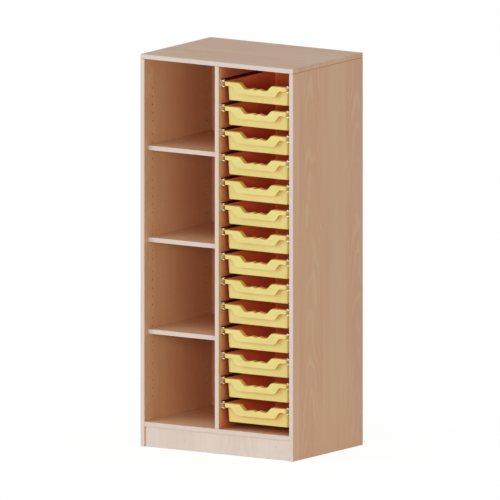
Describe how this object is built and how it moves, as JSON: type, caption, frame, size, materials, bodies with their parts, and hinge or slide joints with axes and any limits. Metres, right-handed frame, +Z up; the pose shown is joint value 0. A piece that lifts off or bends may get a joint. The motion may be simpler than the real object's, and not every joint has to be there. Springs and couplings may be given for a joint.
{
  "type": "classroom tray storage unit",
  "caption": "Tall maple-faced storage unit with open shelves on the left and a column of shallow yellow trays sliding in runners on the right.",
  "frame": {"origin": "on the floor, under the middle of the unit's footprint", "axes": "+Z up, +X to the right seen from the front, the open front faces -Y"},
  "size_m": [0.704, 0.497, 1.538],
  "materials": {
    "faced_board": "satin maple-coloured facing",
    "pale_edging": "satin pale edging",
    "tray_plastic": "satin moulded",
    "runner_aluminium": "satin",
    "support_steel": "plated"
  },
  "bodies": {
    "carcass": {"side_panel_left": "faced_board", "side_panel_right": "faced_board", "partition": "faced_board", "top_panel": "faced_board", "bottom_panel": "faced_board", "plinth": "pale_edging", "back_panel": "faced_board", "shelf_lower": "faced_board", "shelf_middle": "faced_board", "shelf_upper": "faced_board", "support_lower_front_left": "support_steel", "support_lower_front_right": "support_steel", "support_lower_rear_left": "support_steel", "support_lower_rear_right": "support_steel", "support_upper_front_left": "support_steel", "support_upper_front_right": "support_steel", "support_upper_rear_left": "support_steel", "support_upper_rear_right": "support_steel", "runner_left_01": "runner_aluminium", "runner_right_01": "runner_aluminium", "runner_left_02": "runner_aluminium", "runner_right_02": "runner_aluminium", "runner_left_03": "runner_aluminium", "runner_right_03": "runner_aluminium", "runner_left_04": "runner_aluminium", "runner_right_04": "runner_aluminium", "runner_left_05": "runner_aluminium", "runner_right_05": "runner_aluminium", "runner_left_06": "runner_aluminium", "runner_right_06": "runner_aluminium", "runner_left_07": "runner_aluminium", "runner_right_07": "runner_aluminium", "runner_left_08": "runner_aluminium", "runner_right_08": "runner_aluminium", "runner_left_09": "runner_aluminium", "runner_right_09": "runner_aluminium", "runner_left_10": "runner_aluminium", "runner_right_10": "runner_aluminium", "runner_left_11": "runner_aluminium", "runner_right_11": "runner_aluminium", "runner_left_12": "runner_aluminium", "runner_right_12": "runner_aluminium", "runner_left_13": "runner_aluminium", "runner_right_13": "runner_aluminium", "runner_left_14": "runner_aluminium", "runner_right_14": "runner_aluminium"},
    "tray_01": {"tray_01": "tray_plastic"},
    "tray_02": {"tray_02": "tray_plastic"},
    "tray_03": {"tray_03": "tray_plastic"},
    "tray_04": {"tray_04": "tray_plastic"},
    "tray_05": {"tray_05": "tray_plastic"},
    "tray_06": {"tray_06": "tray_plastic"},
    "tray_07": {"tray_07": "tray_plastic"},
    "tray_08": {"tray_08": "tray_plastic"},
    "tray_09": {"tray_09": "tray_plastic"},
    "tray_10": {"tray_10": "tray_plastic"},
    "tray_11": {"tray_11": "tray_plastic"},
    "tray_12": {"tray_12": "tray_plastic"},
    "tray_13": {"tray_13": "tray_plastic"},
    "tray_14": {"tray_14": "tray_plastic"}
  },
  "joints": [
    {"name": "tray_01_slide", "type": "slide", "parent": "carcass", "child": "tray_01", "axis": [0, -1, 0], "range_m": [0, 0.25]},
    {"name": "tray_02_slide", "type": "slide", "parent": "carcass", "child": "tray_02", "axis": [0, -1, 0], "range_m": [0, 0.25]},
    {"name": "tray_03_slide", "type": "slide", "parent": "carcass", "child": "tray_03", "axis": [0, -1, 0], "range_m": [0, 0.25]},
    {"name": "tray_04_slide", "type": "slide", "parent": "carcass", "child": "tray_04", "axis": [0, -1, 0], "range_m": [0, 0.25]},
    {"name": "tray_05_slide", "type": "slide", "parent": "carcass", "child": "tray_05", "axis": [0, -1, 0], "range_m": [0, 0.25]},
    {"name": "tray_06_slide", "type": "slide", "parent": "carcass", "child": "tray_06", "axis": [0, -1, 0], "range_m": [0, 0.25]},
    {"name": "tray_07_slide", "type": "slide", "parent": "carcass", "child": "tray_07", "axis": [0, -1, 0], "range_m": [0, 0.25]},
    {"name": "tray_08_slide", "type": "slide", "parent": "carcass", "child": "tray_08", "axis": [0, -1, 0], "range_m": [0, 0.25]},
    {"name": "tray_09_slide", "type": "slide", "parent": "carcass", "child": "tray_09", "axis": [0, -1, 0], "range_m": [0, 0.25]},
    {"name": "tray_10_slide", "type": "slide", "parent": "carcass", "child": "tray_10", "axis": [0, -1, 0], "range_m": [0, 0.25]},
    {"name": "tray_11_slide", "type": "slide", "parent": "carcass", "child": "tray_11", "axis": [0, -1, 0], "range_m": [0, 0.25]},
    {"name": "tray_12_slide", "type": "slide", "parent": "carcass", "child": "tray_12", "axis": [0, -1, 0], "range_m": [0, 0.25]},
    {"name": "tray_13_slide", "type": "slide", "parent": "carcass", "child": "tray_13", "axis": [0, -1, 0], "range_m": [0, 0.25]},
    {"name": "tray_14_slide", "type": "slide", "parent": "carcass", "child": "tray_14", "axis": [0, -1, 0], "range_m": [0, 0.25]}
  ]
}
